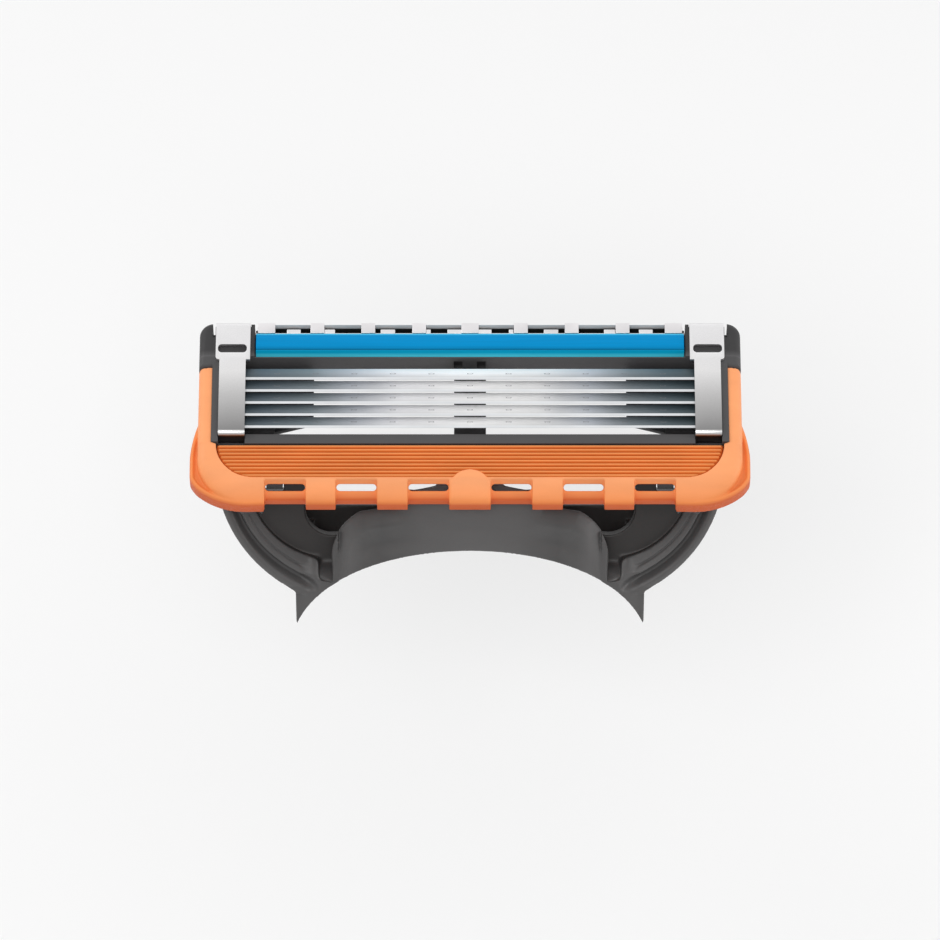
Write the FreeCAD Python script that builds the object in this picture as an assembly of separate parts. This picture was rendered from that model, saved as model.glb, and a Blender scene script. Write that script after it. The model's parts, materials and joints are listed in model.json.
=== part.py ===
"""Five-blade shaving cartridge: blade unit on a two-armed connecting member.

Drawn about the middle of the frame: X runs along the blades, Y runs from the guard (front)
to the cap (rear), and Z is the normal of the shaving plane, with the blade edges at Z 0.
The pieces are stored with the origin in the mouth of the handle socket.
All lengths are millimetres, all angles degrees.
"""
import FreeCAD, Part
import math
import os

V = FreeCAD.Vector

# ---- driving dimensions -------------------------------------------------------------------
# blade pack
BLADES = 5
BLADE_PITCH = 1.05
PACK_SHIFT = -0.2            # the pack sits this much nearer to the guard than the frame's middle
BLADE_HALF = 18.4            # half of a blade's length
BLADE_THICK = 0.075
BLADE_DEPTH = 1.27           # edge to back
BEVEL_DEPTH = 0.28
BLADE_ANGLE = 21.5           # blade below the shaving plane
SUPPORT_THICK = 0.11
SUPPORT_START = 0.42         # first contact under the blade, from the edge
SUPPORT_BEND = 1.10          # where the support turns down
SUPPORT_RADIUS = 0.26        # outside of its bend
SUPPORT_BOTTOM = -1.80
SUPPORT_HALF = 18.2

# housing
HALF_WIDTH = 20.4            # over the rear corners and the soft side rims
FRAME_HALF = 19.38           # over the hard side walls
REAR_Y = 6.85                # back of the clips
CORNER_REAR = 7.05           # back of the rounded rear corners
BOTTOM = -3.3
POCKET_HALF = 18.6           # blade pocket between the side walls
WINDOW_HALF = 11.8           # rinse windows
STRUT_HALF = 1.2
BAR_REAR, BAR_FRONT = -2.67, -3.46   # bar in front of the first blade
BAR_TOP = -0.3
NOTCH_BOTTOM = -0.95         # notches in the bar that show the clips' front legs
CAP_FRONT = 4.0              # wall behind the last blade
SLIT_FRONT = 5.65            # open slits beside the clips at the rear
SLIT_GAP, SLIT_WIDTH = 0.05, 0.22
SHELF_FRONT = -5.9           # shelf that carries the soft guard
SHELF_TOP, SHELF_BOTTOM = -1.2, -1.75
SHELF_INSET = 0.3
CORNER_RADIUS = 1.1
TOP_RADIUS = 0.6             # rounding along the top of the rear corners
FINGER_TOP = -2.15           # spring fingers, pressed down
FINGER_INNER = 14.7
FINGER_HALF, FINGER_THICK, FINGER_ROOT = 0.35, 0.25, 0.3
FLOOR_THICK = 0.4            # floor at the ends of the blade pocket
BLOCK_TOP = -2.4             # seat of the fingers' roots
DIVIDER_HALF, DIVIDER_TOP = 0.2, -1.05
STRUT_TOP = -2.2
CAM_DEPTH, CAM_HOLLOW = 1.2, 5.2   # cam under the strut and the radius it is hollowed to
CAM_MIDDLE = 1.6
GROOVE_FRONT, GROOVE_REAR, GROOVE_BOTTOM = 4.5, 5.7, -1.2   # groove for the strip's tongue
NOTCH_PLACES, NOTCH_HALF = (-0.9, 0.85), 0.33
CAP_NOTCH_BOTTOM, CAP_NOTCH_TOP = -2.04, -0.84
WINDOW_FLARE = V(14.9, -1.06, 0)   # the windows widen towards the guard up to here

# lubricating strip
STRIP_HALF = 16.13
STRIP_FRONT, STRIP_REAR = 4.05, 5.98
STRIP_TOP = 0.2
STRIP_LEDGE = -0.3
BAND_REAR = 4.43             # back of the coloured front band
BAND_SLOPE = 0.29
TONGUE_PLAY = 0.02

# clips
CLIP_THICK = 0.3
CLIP_UNDER = 0.03            # play between blade edges and clip
CLIP_INNER, CLIP_OUTER = 16.87, 18.85
CLIP_FRONT = -2.99
CLIP_FOOT = -1.7             # end of the front leg, inside the bar
CLIP_BOTTOM = -3.9           # hook under the rear of the frame
CLIP_BEND = 0.42             # outside of its bends
CLIP_HOOK = 5.2              # front of the hook
HEAD_INNER, HEAD_OUTER = 16.55, 19.14
HEAD_FRONT, HEAD_BOTTOM, HEAD_CORNER = 3.5, -2.2, 0.25
SLOT_INNER, SLOT_OUTER = 16.8, 18.98    # slot through the head
SLOT_FRONT, SLOT_REAR, SLOT_CORNER = 4.1, 4.82, 0.3

# trimmer
TOOTH_COUNT = 9
TOOTH_PITCH = 3.84
TOOTH_WIDTH = 1.05
TRIMMER_HALF = 16.2
TRIMMER_FRONT = 6.1
TRIMMER_BLADE_Y = 6.82
TRIMMER_EDGE = -0.27
TRIMMER_BLADE_THICK = 0.1
TRIMMER_BEVEL = 0.3
TRIMMER_FOOT = -3.0          # lower edge of the trimmer blade
TRIMMER_REAR = 7.1
TRIMMER_RAIL, TRIMMER_RAIL_TOP = 0.2, -0.35
TRIMMER_WEB_TOP = -1.4
TOOTH_TOP, TOOTH_REAR = -0.16, 6.98
WIDE_TOOTH = 1.25            # end and middle teeth against the others

# soft guard
PAD_REAR, PAD_FRONT = -3.58, -6.42
PAD_TOP = -0.25
SLOPE_END = V(0, -7.92, -1.07)
LIP_FRONT = -8.15
LIP_TOP, LIP_BOTTOM, LIP_REAR = -1.4, -2.2, -6.9
RIM_TOP, RIM_BOTTOM = -0.12, -2.6
WING_HALF = 21.0
RIM_REAR = 3.0
SLOT_PITCH_X = (3.1, 8.48, 13.8)
SLOT_WIDTH, SLOT_HEIGHT = 3.02, 0.52
SLOT_Y, SLOT_Z = -7.33, -0.72        # lower edge of the slots
SLOPE_ANGLE = 30

# pivot and connecting member
PIVOT = V(0, -3.6, -3.9)
MEMBER_TILT = 50.0           # the handle's line below the shaving plane
TRUNNION_RADIUS = 0.80
BORE_RADIUS = 0.85
EAR_INNER, EAR_OUTER = 14.1, 15.3
EAR_RADIUS = 1.5
LUG_PLAY = 0.35
LUG_INNER, LUG_OUTER = 15.6, 17.6
COWL_RADIUS = 30.0           # bulge of the cowl across the head
COWL_TOP = 3.3               # its height over the pivot's plane
COWL_WALL = 1.3
COWL_LEAN = 0.37             # its upper edge slopes back along the handle's line
WEB_BACK, WEB_FRONT, RIM_FRONT = -1.2, -0.3, 0.7
RIM_WIDTH = 2.4
RIM_END = -9.8               # the rim stops above the pointed tip
BACK_PLANE, BACK_WALL = -4.5, 0.8
SOCKET_HALF, SOCKET_OUTER = 6.0, 6.9
SOCKET_BACK, SOCKET_FRONT = -3.7, 2.05
MOUTH_TOP = -5.37            # middle of the arched mouth, along the handle's line
MOUTH_HALF, MOUTH_RISE = 13.72, 9.93
TIP_END = -12.45
PIT_INNER, PIT_OUTER, PIT_END = 8.0, 12.45, -3.4   # gap between the cowl and the arm
PIT_MIDDLE, PIT_RADIUS = 10.4, 2.05
EAR_PLAY = 0.06              # between the arm and the bearing ear
NECK_HALF, NECK_BACK = 2.5, 0.6      # neck over the plunger
PLUNGER_HALF, PLUNGER_TOP, PLUNGER_END = 1.9, 1.2, -3.5
BACK_TOP, BACK_OUTER, BACK_END = -4.3, 12.8, -11.0   # wall behind the socket
BRIDGE_END = -4.9            # the back is open below this bridge
FOOT_INNER, FOOT_OUTER, FOOT_TOP = 9.9, 14.0, -8.6
FAR = 20.0                   # beyond every piece

FIT = 0.01                   # play of a pressed-in piece


# ---- small helpers ------------------------------------------------------------------------
def box(x0, x1, y0, y1, z0, z1):
    """Box between two corners."""
    return Part.makeBox(x1 - x0, y1 - y0, z1 - z0, V(x0, y0, z0))


def joined(shapes):
    """One clean solid made of several that touch."""
    first = shapes[0]
    return first.fuse(shapes[1:]).removeSplitter() if len(shapes) > 1 else first


def mirrored(shape):
    """The same shape on the other side of the middle plane."""
    return shape.mirror(V(0, 0, 0), V(1, 0, 0))


def both_sides(shape):
    """The shape and its mirror image."""
    return [shape, mirrored(shape)]


def extruded_x(points, x0, x1):
    """Outline of (y, z) points, extruded from x0 to x1."""
    wire = Part.makePolygon([V(x0, y, z) for y, z in points + points[:1]])
    return Part.Face(wire).extrude(V(x1 - x0, 0, 0))


def extruded_z(points, z0, z1):
    """Outline of (x, y) points, extruded from z0 to z1."""
    wire = Part.makePolygon([V(x, y, z0) for x, y in points + points[:1]])
    return Part.Face(wire).extrude(V(0, 0, z1 - z0))


def cylinder_x(radius, x0, x1, y, z):
    """Round bar along X."""
    return Part.makeCylinder(radius, x1 - x0, V(x0, y, z), V(1, 0, 0))


def edge_y(index):
    """Y of a blade's edge; index 0 is nearest to the guard."""
    return (index - (BLADES - 1) / 2) * BLADE_PITCH + PACK_SHIFT


# ---- blades and their supports --------------------------------------------------------------
def blade_directions():
    """Unit vectors along the blade, edge to back, and out of its upper face."""
    a = math.radians(BLADE_ANGLE)
    return V(0, math.cos(a), -math.sin(a)), V(0, math.sin(a), math.cos(a))


def blade(index):
    """Flat steel blade with a double bevel."""
    along, up = blade_directions()
    edge = V(-BLADE_HALF, edge_y(index), 0)
    half = up * (BLADE_THICK / 2)
    bevel = along * BEVEL_DEPTH
    back = along * BLADE_DEPTH
    corners = [edge, edge + bevel + half, edge + back + half, edge + back - half, edge + bevel - half]
    return Part.Face(Part.makePolygon(corners + [edge])).extrude(V(2 * BLADE_HALF, 0, 0))


def blade_support(index):
    """Bent strip: a flat under the blade, a round bend and a leg straight down."""
    along, up = blade_directions()
    outer, inner = SUPPORT_RADIUS, SUPPORT_RADIUS - SUPPORT_THICK
    edge = V(-SUPPORT_HALF, edge_y(index), 0)
    under = up * (-BLADE_THICK / 2)
    centre = edge + along * SUPPORT_BEND + under - up * outer
    start = edge + along * SUPPORT_START + under
    turn = math.radians(45 - BLADE_ANGLE / 2)
    middle = V(0, math.cos(turn), math.sin(turn))
    rear = V(0, 1, 0)
    foot = SUPPORT_BOTTOM - centre.z
    a0, a1, a2 = (centre + d * outer for d in (up, middle, rear))
    b0, b1, b2 = (centre + d * inner for d in (up, middle, rear))
    edges = [
        Part.makeLine(start, a0),
        Part.Arc(a0, a1, a2).toShape(),
        Part.makeLine(a2, a2 + V(0, 0, foot)),
        Part.makeLine(a2 + V(0, 0, foot), b2 + V(0, 0, foot)),
        Part.makeLine(b2 + V(0, 0, foot), b2),
        Part.Arc(b2, b1, b0).toShape(),
        Part.makeLine(b0, start - up * SUPPORT_THICK),
        Part.makeLine(start - up * SUPPORT_THICK, start),
    ]
    return Part.Face(Part.Wire(edges)).extrude(V(2 * SUPPORT_HALF, 0, 0))


# ---- housing --------------------------------------------------------------------------------
def leg_y(index):
    """Y of the middle of a support's leg."""
    along, up = blade_directions()
    bend_y = edge_y(index) + along.y * SUPPORT_BEND - up.y * (SUPPORT_RADIUS + BLADE_THICK / 2)
    return bend_y + SUPPORT_RADIUS - SUPPORT_THICK / 2


def side_frame():
    """Right end of the frame: side wall, blade pocket with dividers, and spring fingers."""
    front_wall = box(WINDOW_HALF, FRAME_HALF, BAR_FRONT, BAR_REAR, SHELF_BOTTOM, BAR_TOP)
    wall = box(POCKET_HALF, FRAME_HALF, BAR_FRONT, CAP_FRONT, BOTTOM, 0.0)
    floor = box(WINDOW_HALF, FRAME_HALF, BAR_REAR, CAP_FRONT, BOTTOM, BOTTOM + FLOOR_THICK)
    block = box(CLIP_INNER, FRAME_HALF, BAR_REAR, CAP_FRONT, BOTTOM, BLOCK_TOP)
    pieces = [front_wall, wall, floor, block]
    root = CLIP_INNER + FINGER_ROOT
    for index in range(BLADES):
        y = leg_y(index)
        front, rear = y - FINGER_HALF, y + FINGER_HALF
        pieces.append(box(FINGER_INNER, root, front, rear, FINGER_TOP - FINGER_THICK, FINGER_TOP))
        pieces.append(box(CLIP_INNER, root, front, rear, BOTTOM, FINGER_TOP))
    for index in range(BLADES - 1):
        y = (leg_y(index) + leg_y(index + 1)) / 2
        front, rear = y - DIVIDER_HALF, y + DIVIDER_HALF
        pieces.append(box(CLIP_INNER + DIVIDER_HALF, POCKET_HALF, front, rear, BOTTOM, DIVIDER_TOP))
    return pieces


def ear():
    """Right bearing ear under the shelf, not yet bored."""
    plate = box(EAR_INNER, EAR_OUTER, PIVOT.y - EAR_RADIUS, PIVOT.y + EAR_RADIUS, PIVOT.z, SHELF_BOTTOM)
    return [plate, cylinder_x(EAR_RADIUS, EAR_INNER, EAR_OUTER, PIVOT.y, PIVOT.z)]


def rear_corner():
    """Right rear corner of the frame, rounded outside and split from the clip by an open slit."""
    seat = box(STRIP_HALF + 0.1, HEAD_OUTER + SLIT_GAP, RIM_REAR + 0.05, REAR_Y - CLIP_THICK, BOTTOM, 0.0)
    corner = box(HEAD_OUTER + SLIT_GAP, HALF_WIDTH, RIM_REAR + 0.05, CORNER_REAR, BOTTOM, 0.0)
    upright = [e for e in corner.Edges if abs(e.tangentAt(e.FirstParameter).z) > 0.9]
    outer = [e for e in upright if e.CenterOfMass.x > HALF_WIDTH - 0.01]
    outer_rear = [e for e in outer if e.CenterOfMass.y > CAP_FRONT]
    corner = corner.makeFillet(CORNER_RADIUS, outer_rear)
    top = [e for e in corner.Edges if e.BoundBox.ZMin > -0.01]
    outside = [e for e in top if e.CenterOfMass.x > HALF_WIDTH - CORNER_RADIUS
               or e.CenterOfMass.y > CORNER_REAR - CORNER_RADIUS]
    corner = corner.makeFillet(TOP_RADIUS, outside)
    post = box(STRIP_HALF + 0.1, HEAD_INNER - 0.05, CAP_FRONT, CORNER_REAR - TOP_RADIUS / 2, BOTTOM, 0.0)
    pocket = box(STRIP_HALF, POCKET_HALF, 0, CAP_FRONT, BOTTOM - 1, 1)
    slit_inner = HEAD_OUTER + SLIT_GAP
    slit = box(slit_inner, slit_inner + SLIT_WIDTH, SLIT_FRONT, CORNER_REAR + 1, BOTTOM - 1, 1)
    return joined([seat, corner, post]).cut([pocket, slit])


def rear_block():
    """Cap block that carries the strip, with the hard rear corners of the frame."""
    core = box(-FRAME_HALF, FRAME_HALF, CAP_FRONT, TRIMMER_FRONT - TRIMMER_RAIL / 2, BOTTOM, STRIP_LEDGE)
    return [core] + both_sides(rear_corner())


def cam():
    """Curved cam under the middle that the handle's plunger presses on."""
    front, rear = BAR_REAR + FINGER_ROOT, CAP_FRONT + 2 * FINGER_ROOT
    block = box(-STRUT_HALF, STRUT_HALF, front, rear, BOTTOM - CAM_DEPTH, BOTTOM + FINGER_ROOT)
    hollow_z = BOTTOM - CAM_DEPTH / 2 - CAM_HOLLOW - 0.1
    return block.cut(cylinder_x(CAM_HOLLOW, -2 * STRUT_HALF, 2 * STRUT_HALF, CAM_MIDDLE, hollow_z))


def housing_cuts():
    """Everything cut out of the joined frame."""
    groove_half = STRIP_HALF + 0.05
    cuts = [box(-groove_half, groove_half, GROOVE_FRONT, GROOVE_REAR, GROOVE_BOTTOM, 0)]
    for x in NOTCH_PLACES:
        front, rear = CAP_FRONT - 0.1, CAP_FRONT + 0.4
        cuts.append(box(x - NOTCH_HALF, x + NOTCH_HALF, front, rear, CAP_NOTCH_BOTTOM, CAP_NOTCH_TOP))
    inner, top = WINDOW_HALF - 1, FINGER_TOP - FINGER_THICK - FIT
    flare = [(inner, -0.2), (WINDOW_HALF, -0.2), (WINDOW_FLARE.x, WINDOW_FLARE.y)]
    flare += [(WINDOW_FLARE.x, BAR_REAR), (inner, BAR_REAR)]
    under_cap = box(-STRIP_HALF, -2.5, CAP_FRONT + 0.8, TRIMMER_FRONT - 0.9, BOTTOM - 0.1, -1.8)
    lug_room = cylinder_x(EAR_RADIUS + LUG_PLAY, EAR_OUTER, HALF_WIDTH, PIVOT.y, PIVOT.z)
    play = 0.05
    clip_slot = box(CLIP_INNER - play, CLIP_OUTER + play, CLIP_FRONT - play, BAR_REAR + play, BOTTOM - 1, 1)
    notch = box(CLIP_INNER - FIT, CLIP_OUTER + FIT, BAR_FRONT - 0.1, CLIP_FRONT, NOTCH_BOTTOM, 1)
    bore = cylinder_x(BORE_RADIUS, EAR_INNER - 0.1, EAR_OUTER + 0.1, PIVOT.y, PIVOT.z)
    for shape in (extruded_z(flare, BOTTOM - 0.1, top), under_cap, bore, lug_room, clip_slot, notch):
        cuts += both_sides(shape)
    return cuts


def housing():
    """Hard frame of the blade unit."""
    shelf_half = FRAME_HALF - SHELF_INSET
    bar = box(-FRAME_HALF, FRAME_HALF, BAR_FRONT, BAR_REAR, SHELF_BOTTOM, BAR_TOP)
    shelf = box(-shelf_half, shelf_half, SHELF_FRONT, BAR_FRONT, SHELF_BOTTOM, SHELF_TOP)
    strut = box(-STRUT_HALF, STRUT_HALF, BAR_REAR, CAP_FRONT, BOTTOM, STRUT_TOP)
    pieces = [bar, shelf, strut, cam()] + rear_block()
    for shape in side_frame() + ear():
        pieces += both_sides(shape)
    return joined(pieces).cut(housing_cuts()).removeSplitter()


# ---- strip ----------------------------------------------------------------------------------
def strip_main():
    """Lubricating strip with its tongue in the cap's groove."""
    tongue_front, tongue_rear = GROOVE_FRONT + TONGUE_PLAY, GROOVE_REAR - TONGUE_PLAY
    tongue_bottom = GROOVE_BOTTOM + 0.05
    outline = [
        (BAND_REAR, STRIP_LEDGE), (BAND_REAR, STRIP_TOP), (STRIP_REAR - 0.2, 0.1), (STRIP_REAR, -0.05),
        (STRIP_REAR, STRIP_LEDGE), (tongue_rear, STRIP_LEDGE), (tongue_rear, tongue_bottom),
        (tongue_front, tongue_bottom), (tongue_front, STRIP_LEDGE),
    ]
    return extruded_x(outline, -STRIP_HALF, STRIP_HALF)


def strip_front_band():
    """Second colour along the strip's front, with the sloped face."""
    slope_end = STRIP_FRONT + BAND_SLOPE
    front = [(STRIP_FRONT, STRIP_LEDGE), (slope_end, STRIP_TOP)]
    rear = [(BAND_REAR, STRIP_TOP), (BAND_REAR, STRIP_LEDGE)]
    return extruded_x(front + rear, -STRIP_HALF, STRIP_HALF)


# ---- clips ----------------------------------------------------------------------------------
def edges_along(shape, axis):
    """Straight edges of a shape that run along an axis."""
    return [e for e in shape.Edges if abs(e.tangentAt(e.FirstParameter).dot(axis)) > 0.9]


def clip_right():
    """Flat metal clip over the blade ends, bent round the front and the rear of the frame."""
    x_axis, z_axis = V(1, 0, 0), V(0, 0, 1)
    top = CLIP_UNDER + CLIP_THICK
    back = REAR_Y - CLIP_THICK
    band = box(CLIP_INNER, CLIP_OUTER, CLIP_FRONT, REAR_Y, CLIP_BOTTOM, top)
    band = band.makeFillet(CLIP_BEND, [e for e in edges_along(band, x_axis) if e.CenterOfMass.z > 0])
    front, bottom = CLIP_FRONT + CLIP_THICK, CLIP_BOTTOM + CLIP_THICK
    inside = box(CLIP_INNER - 1, CLIP_OUTER + 1, front, back, bottom, CLIP_UNDER)
    bends = [e for e in edges_along(inside, x_axis) if e.CenterOfMass.z > 0]
    inside = inside.makeFillet(CLIP_BEND - CLIP_THICK, bends)
    below_leg = box(CLIP_INNER - 1, CLIP_OUTER + 1, CLIP_FRONT - 1, CLIP_HOOK, CLIP_BOTTOM - 1, CLIP_FOOT)
    band = band.cut([inside, below_leg])

    head = box(HEAD_INNER, HEAD_OUTER, HEAD_FRONT, REAR_Y, HEAD_BOTTOM, top)
    outside = [e for e in edges_along(head, z_axis) if e.CenterOfMass.x > CLIP_OUTER]
    head = head.makeFillet(HEAD_CORNER, [e for e in outside if e.CenterOfMass.y < CAP_FRONT])
    bend = [e for e in edges_along(head, x_axis) if e.CenterOfMass.z > 0 and e.CenterOfMass.y > CAP_FRONT]
    head = head.makeFillet(CLIP_BEND, bend)
    under_head = box(0, HALF_WIDTH + 1, HEAD_FRONT - 1, back, HEAD_BOTTOM - 1, CLIP_UNDER)
    slot = box(SLOT_INNER, SLOT_OUTER, SLOT_FRONT, SLOT_REAR, -1, 1)
    slot = slot.makeFillet(SLOT_CORNER, edges_along(slot, z_axis))
    return joined([band, head.cut([inside, under_head])]).cut(slot)


# ---- trimmer --------------------------------------------------------------------------------
def trimmer_blade():
    """Single upright blade behind the comb."""
    y0, y1 = TRIMMER_BLADE_Y, TRIMMER_BLADE_Y + TRIMMER_BLADE_THICK
    shoulder = TRIMMER_EDGE - TRIMMER_BEVEL
    front, rear = [(y0, TRIMMER_FOOT), (y0, shoulder)], [(y1, shoulder), (y1, TRIMMER_FOOT)]
    outline = front + [((y0 + y1) / 2, TRIMMER_EDGE)] + rear
    half = TRIMMER_HALF - 2 * TRIMMER_RAIL
    return extruded_x(outline, -half, half)


def trimmer_carrier():
    """Comb strip behind the cap: a web, nine bridging teeth and a slot for the blade."""
    rail_y = TRIMMER_FRONT - TRIMMER_RAIL / 2
    web = box(-TRIMMER_HALF, TRIMMER_HALF, rail_y, TRIMMER_REAR, BOTTOM, TRIMMER_WEB_TOP)
    rail_rear = rail_y + TRIMMER_RAIL
    front = box(-TRIMMER_HALF, TRIMMER_HALF, rail_y, rail_rear, TRIMMER_WEB_TOP, TRIMMER_RAIL_TOP)
    middle = (TOOTH_COUNT - 1) // 2
    teeth = []
    for index in range(TOOTH_COUNT):
        x = (index - middle) * TOOTH_PITCH
        wide = index in (0, middle, TOOTH_COUNT - 1)
        half = TOOTH_WIDTH / 2 * (WIDE_TOOTH if wide else 1.0)
        bottom = TRIMMER_WEB_TOP - TRIMMER_RAIL
        teeth.append(box(x - half, x + half, TRIMMER_FRONT, TOOTH_REAR, bottom, TOOTH_TOP))
    body = joined([web, front] + teeth)
    half = TRIMMER_HALF - 2 * TRIMMER_RAIL + FIT
    blade_end = TRIMMER_BLADE_Y + TRIMMER_BLADE_THICK
    bottom, top = TRIMMER_FOOT - FIT, TRIMMER_EDGE + 2 * FIT
    slot = box(-half, half, TRIMMER_BLADE_Y - FIT, blade_end + FIT, bottom, top)
    return body.cut(slot)


# ---- soft guard -----------------------------------------------------------------------------
def guard_outline():
    """Right half of the outer outline in plan, from the rear of the side rim to the middle."""
    rear = V(HALF_WIDTH, RIM_REAR, 0)
    waist = V(HALF_WIDTH, -1.75, 0)
    swell = V(WING_HALF - 0.1, -3.1, 0)
    side_top = V(WING_HALF, -4.3, 0)
    side_low = V(WING_HALF, -6.0, 0)
    shoulder = V(20.0, -7.35, 0)
    front = V(17.4, LIP_FRONT, 0)
    middle = V(0, LIP_FRONT, 0)
    return [
        Part.makeLine(rear, waist),
        Part.Arc(waist, swell, side_top).toShape(),
        Part.makeLine(side_top, side_low),
        Part.Arc(side_low, shoulder, front).toShape(),
        Part.makeLine(front, middle),
    ]


def rinse_slot(x):
    """Long hole square to the guard's sloping face."""
    slot = box(-SLOT_WIDTH / 2, SLOT_WIDTH / 2, 0, SLOT_HEIGHT, -4, 1)
    slot.rotate(V(0, 0, 0), V(1, 0, 0), SLOPE_ANGLE)
    slot.translate(V(x, SLOT_Y, SLOT_Z))
    return slot


def guard_elastomer():
    """Soft guard: pad over the shelf, lip in front, rims along both sides and six rinse slots."""
    behind = RIM_REAR + 2
    inner = [
        Part.makeLine(V(0, LIP_FRONT, 0), V(0, behind, 0)),
        Part.makeLine(V(0, behind, 0), V(HALF_WIDTH, behind, 0)),
        Part.makeLine(V(HALF_WIDTH, behind, 0), V(HALF_WIDTH, RIM_REAR, 0)),
    ]
    half = Part.Face(Part.Wire(guard_outline() + inner)).extrude(V(0, 0, RIM_TOP - RIM_BOTTOM + 0.02))
    half.translate(V(0, 0, RIM_BOTTOM))
    plan = joined(both_sides(half))
    section = [
        (PAD_REAR, PAD_TOP), (PAD_FRONT, PAD_TOP), (SLOPE_END.y, SLOPE_END.z), (LIP_FRONT, LIP_TOP),
        (LIP_FRONT, LIP_BOTTOM), (LIP_REAR, LIP_BOTTOM), (SHELF_FRONT - SHELF_INSET, SHELF_TOP),
        (PAD_REAR, SHELF_TOP),
    ]
    pad = extruded_x(section, -WING_HALF, WING_HALF)
    rim = box(FRAME_HALF, WING_HALF, LIP_FRONT, RIM_REAR, RIM_BOTTOM, RIM_TOP)
    rim_slope = [(PAD_FRONT + 0.22, 0), (LIP_FRONT - 0.1, SHELF_TOP), (LIP_FRONT - 0.1, 0)]
    rim = rim.cut(extruded_x(rim_slope, 0, WING_HALF + 1))
    shelf_half = FRAME_HALF - SHELF_INSET
    corner_wall = box(shelf_half, WING_HALF, LIP_FRONT, BAR_FRONT, RIM_BOTTOM + 0.2, SHELF_TOP)
    body = joined([pad] + both_sides(rim) + both_sides(corner_wall)).common(plan)
    cuts = [box(-FRAME_HALF, FRAME_HALF, BAR_FRONT - 2 * FIT, RIM_REAR + 1, RIM_BOTTOM - 1, 1)]
    cuts.append(box(-shelf_half, shelf_half, SHELF_FRONT, BAR_FRONT, RIM_BOTTOM - 1, SHELF_TOP))
    for x in SLOT_PITCH_X:
        cuts += [rinse_slot(-x), rinse_slot(x)]
    return body.cut(cuts)


# ---- connecting member ----------------------------------------------------------------------
# drawn flat: X along the head, Y towards the head, Z out of the front face, pivot at the origin
def extruded_t(edges, t0, t1, lean=0.0):
    """Outline at the cowl's top, extruded from t0 to t1, leaning towards the head as it rises."""
    face = Part.Face(Part.Wire(edges))
    face.translate(V(0, lean * (t0 - COWL_TOP), t0))
    return face.extrude(V(0, lean * (t1 - t0), t1 - t0))


def mouth():
    """Arched opening that the handle's head fits."""
    centre_u, low = MOUTH_TOP - MOUTH_RISE, -FAR / 2
    rim = Part.Ellipse(V(MOUTH_HALF, centre_u, low), V(0, centre_u + MOUTH_RISE, low), V(0, centre_u, low))
    return Part.Face(Part.Wire([rim.toShape()])).extrude(V(0, 0, FAR))


def arm_outline(inset):
    """Right half of the member's outline, set in from its outer edge."""
    top = V(LUG_OUTER + 0.9 - inset, 0, 0)
    neck = V(18.66 - inset, -3.0, 0)
    bend = V(16.5 - inset * 0.83, -6.98 + inset * 0.58, 0)
    foot = V(13.2 - inset * 0.75, -9.64 + inset * 1.03, 0)
    tip = V(13.16 - inset * 0.75, TIP_END, 0)
    lines = [Part.makeLine(V(0, 0, 0), top), Part.makeLine(top, neck)]
    lines.append(Part.Arc(neck, bend, foot).toShape())
    lines += [Part.makeLine(foot, tip), Part.makeLine(tip, V(0, TIP_END, 0))]
    lines.append(Part.makeLine(V(0, TIP_END, 0), V(0, 0, 0)))
    return lines


def cowl_outline():
    """Right half of the bell-shaped cowl."""
    points = [V(0, -0.1, 0), V(2.5, -0.1, 0), V(4.4, -0.53, 0), V(5.6, -1.9, 0), V(8.25, -2.32, 0)]
    lines = [Part.makeLine(a, b) for a, b in zip(points, points[1:])]
    side, low, heel, end = V(9.9, -3.88, 0), V(10.45, -6.1, 0), V(10.2, -9.5, 0), V(0, -9.5, 0)
    lines.append(Part.Arc(points[-1], side, low).toShape())
    lines += [Part.makeLine(low, heel), Part.makeLine(heel, end), Part.makeLine(end, points[0])]
    return lines


def bulge(height):
    """Solid under the cylinder that the cowl's front face lies on."""
    return Part.makeCylinder(COWL_RADIUS, FAR, V(0, TIP_END - 4, height - COWL_RADIUS), V(0, 1, 0))


def arms():
    """Right arm: thin web with a raised rim, open beside the cowl and clear of the bearing ear."""
    low, high = WEB_BACK - 2, COWL_TOP + 1
    web = extruded_t(arm_outline(0.0), WEB_BACK, WEB_FRONT)
    inside_rim = extruded_t(arm_outline(RIM_WIDTH), low, high)
    below_rim = box(0, FAR, TIP_END - 1, RIM_END, low, high)
    rim = extruded_t(arm_outline(0.0), WEB_BACK, RIM_FRONT).cut([inside_rim, below_rim])
    pit = box(PIT_INNER, PIT_OUTER, PIT_END, FAR, low, high)
    pit_end = Part.makeCylinder(PIT_RADIUS, high - low, V(PIT_MIDDLE, PIT_END, low))
    middle = box(0, PIT_INNER + 1, -5.0, 1, low, high)
    ear_room = box(EAR_INNER - EAR_PLAY, LUG_INNER, -1.9, 2, low, high)
    return joined([web, rim]).cut([pit, pit_end, middle, ear_room])


def end_slope(front, back):
    """Everything above a sloping plane that falls from the cowl's front to its back."""
    high, low, far = COWL_TOP + 1, BACK_PLANE - 1, 6
    points = [(high, front + 0.4), (low, back - 0.3), (low, far), (high, far)]
    wire = Part.makePolygon([V(-FAR, u, t) for t, u in points + points[:1]])
    return Part.Face(wire).extrude(V(2 * FAR, 0, 0))


def socket_block():
    """Right half of the box that takes the handle's tongue, with the plunger's neck in the middle."""
    high = COWL_TOP + 1
    block = box(0, SOCKET_OUTER, -9, 0, BACK_PLANE, high).cut(end_slope(-0.5, -3.5))
    neck = box(0, NECK_HALF, -3, -0.1, NECK_BACK, high)
    return joined([block, neck]).common(bulge(COWL_TOP))


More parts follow.
